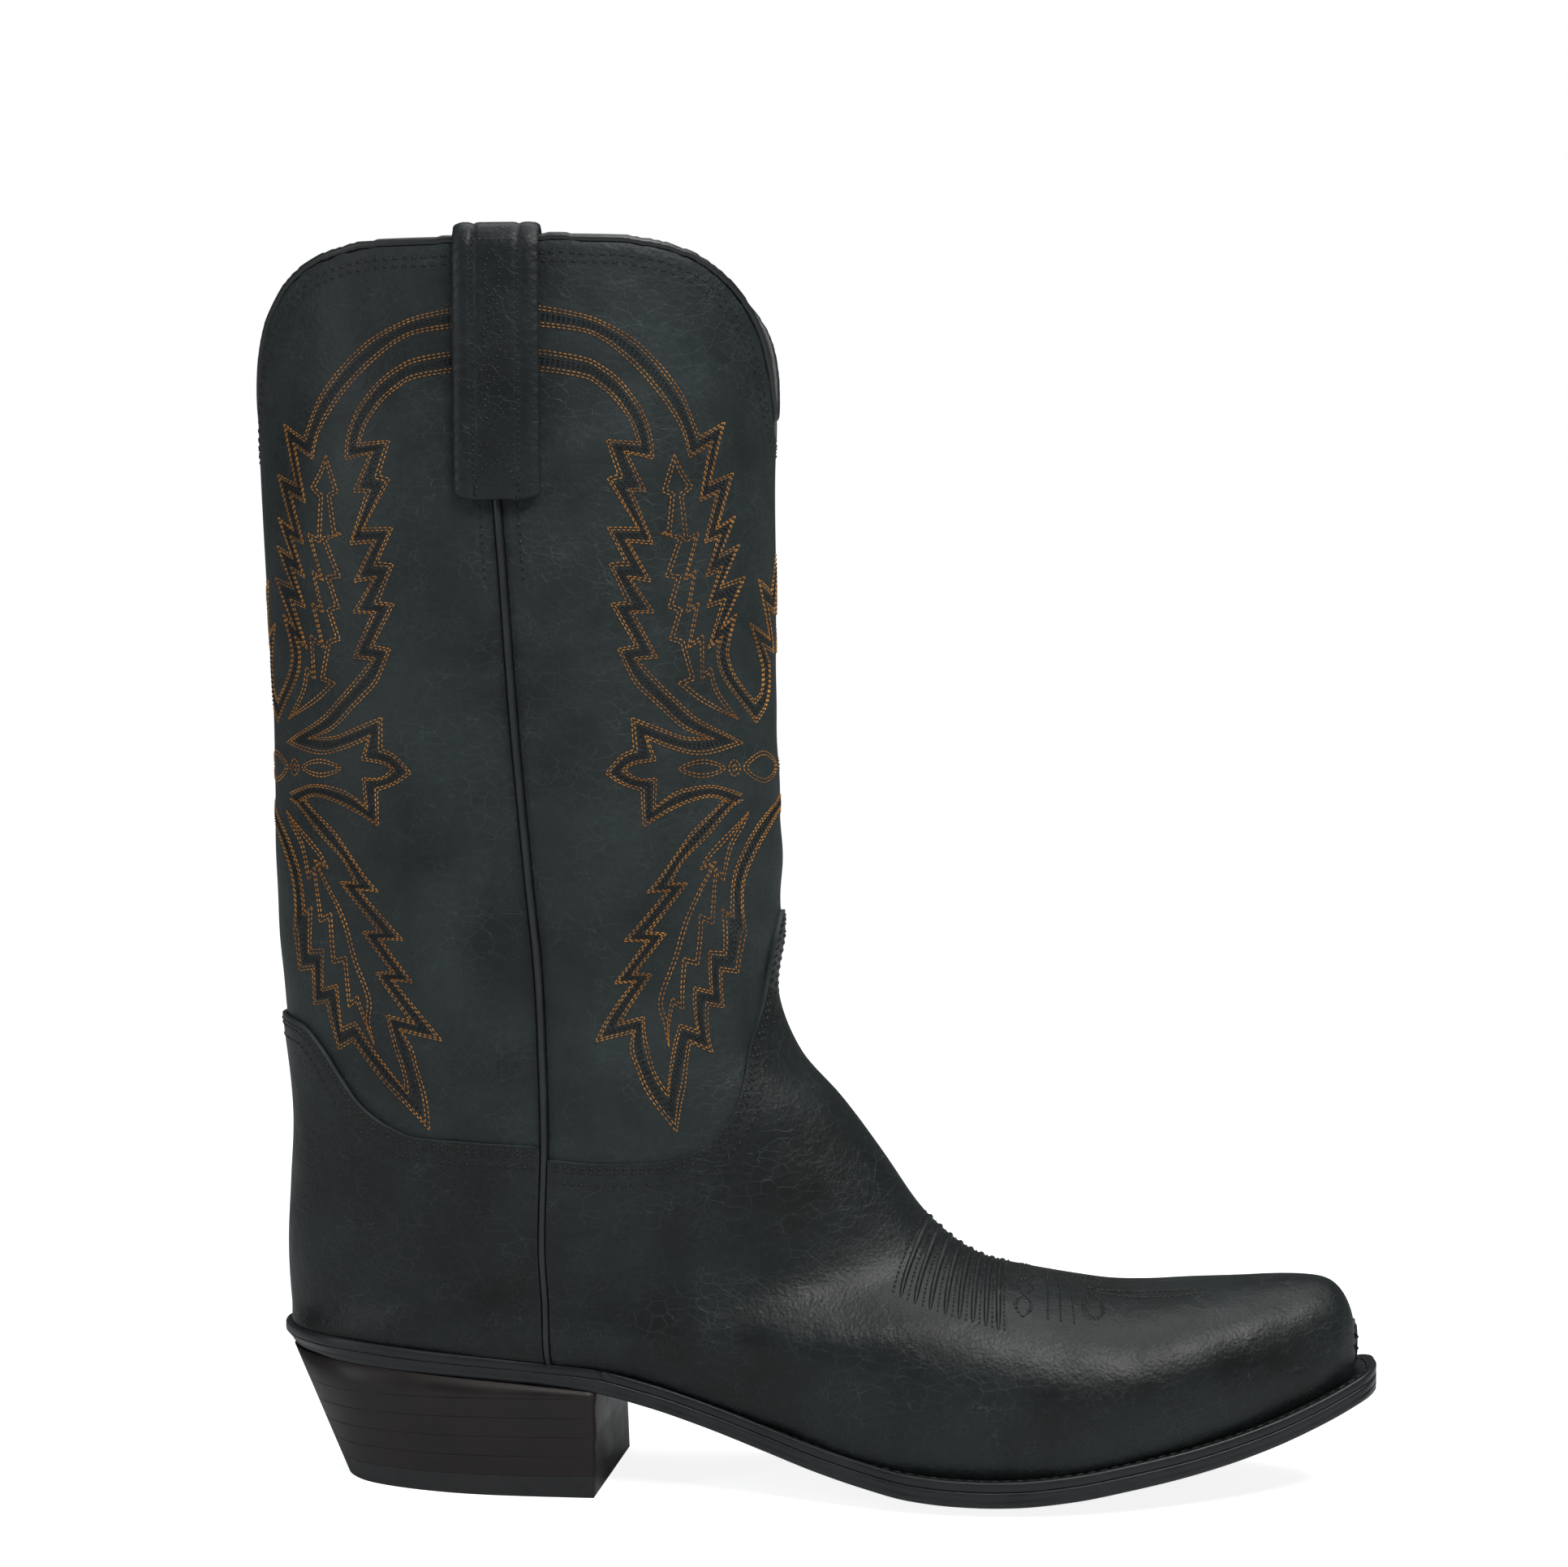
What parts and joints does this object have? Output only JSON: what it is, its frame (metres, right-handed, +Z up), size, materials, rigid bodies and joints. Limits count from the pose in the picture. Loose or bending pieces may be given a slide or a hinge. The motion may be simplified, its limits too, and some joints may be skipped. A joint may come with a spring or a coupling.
{
  "type": "cowboy boot",
  "caption": "Pull-on cowboy boot with a scalloped tall shaft, rows of flame stitching, side piping and pull straps, a snip toe, a welted leather sole and an underslung stacked heel.",
  "frame": {"origin": "on the ground plane, at the middle of the boot's bounding box in plan", "axes": "+X towards the toe, +Y towards the inner side of the foot, +Z up"},
  "size_m": [0.324, 0.1054, 0.3578],
  "materials": {
    "upper_leather": "waxed full-grain leather, nearly black with a green-blue cast, fine pale creases, satin",
    "lining": "smooth tan lining leather, matte",
    "binding": "thin black leather, folded, satin",
    "stiffener_board": "pressed fibre board, matte",
    "sole_edge": "sole leather, edge dyed black, waxed and burnished",
    "heel_stack": "stacked sole leather, dyed nearly black, burnished",
    "heel_cap": "black rubber top lift, matte",
    "insole_leather": "vegetable tanned insole leather, matte",
    "sock_pad": "brown sock leather, satin",
    "cork": "ground cork filler, matte",
    "steel": "plain steel",
    "peg_wood": "lemonwood pegs",
    "thread": "waxed black thread"
  },
  "bodies": {
    "root": {"cork_filler": "cork", "counter_cover": "upper_leather", "counter_stiffener": "stiffener_board", "heel_cap": "heel_cap", "heel_lift_1": "heel_stack", "heel_lift_2": "heel_stack", "heel_lift_3": "heel_stack", "heel_lift_4": "heel_stack", "heel_lift_5": "heel_stack", "heel_nails": "steel", "heel_pad": "sock_pad", "heel_rand": "sole_edge", "insole": "insole_leather", "outsole": "sole_edge", "pull_strap_inner": "upper_leather", "pull_strap_outer": "upper_leather", "rim_bead_back": "binding", "rim_bead_front": "binding", "shaft_back": "upper_leather", "shaft_front": "upper_leather", "shaft_lining_back": "lining", "shaft_lining_front": "lining", "shank": "steel", "shank_board": "stiffener_board", "shank_pegs": "peg_wood", "side_piping_inner": "binding", "side_piping_outer": "binding", "toe_box": "stiffener_board", "vamp": "upper_leather", "vamp_lining": "lining", "welt": "sole_edge", "welt_stitching": "thread"}
  },
  "joints": []
}
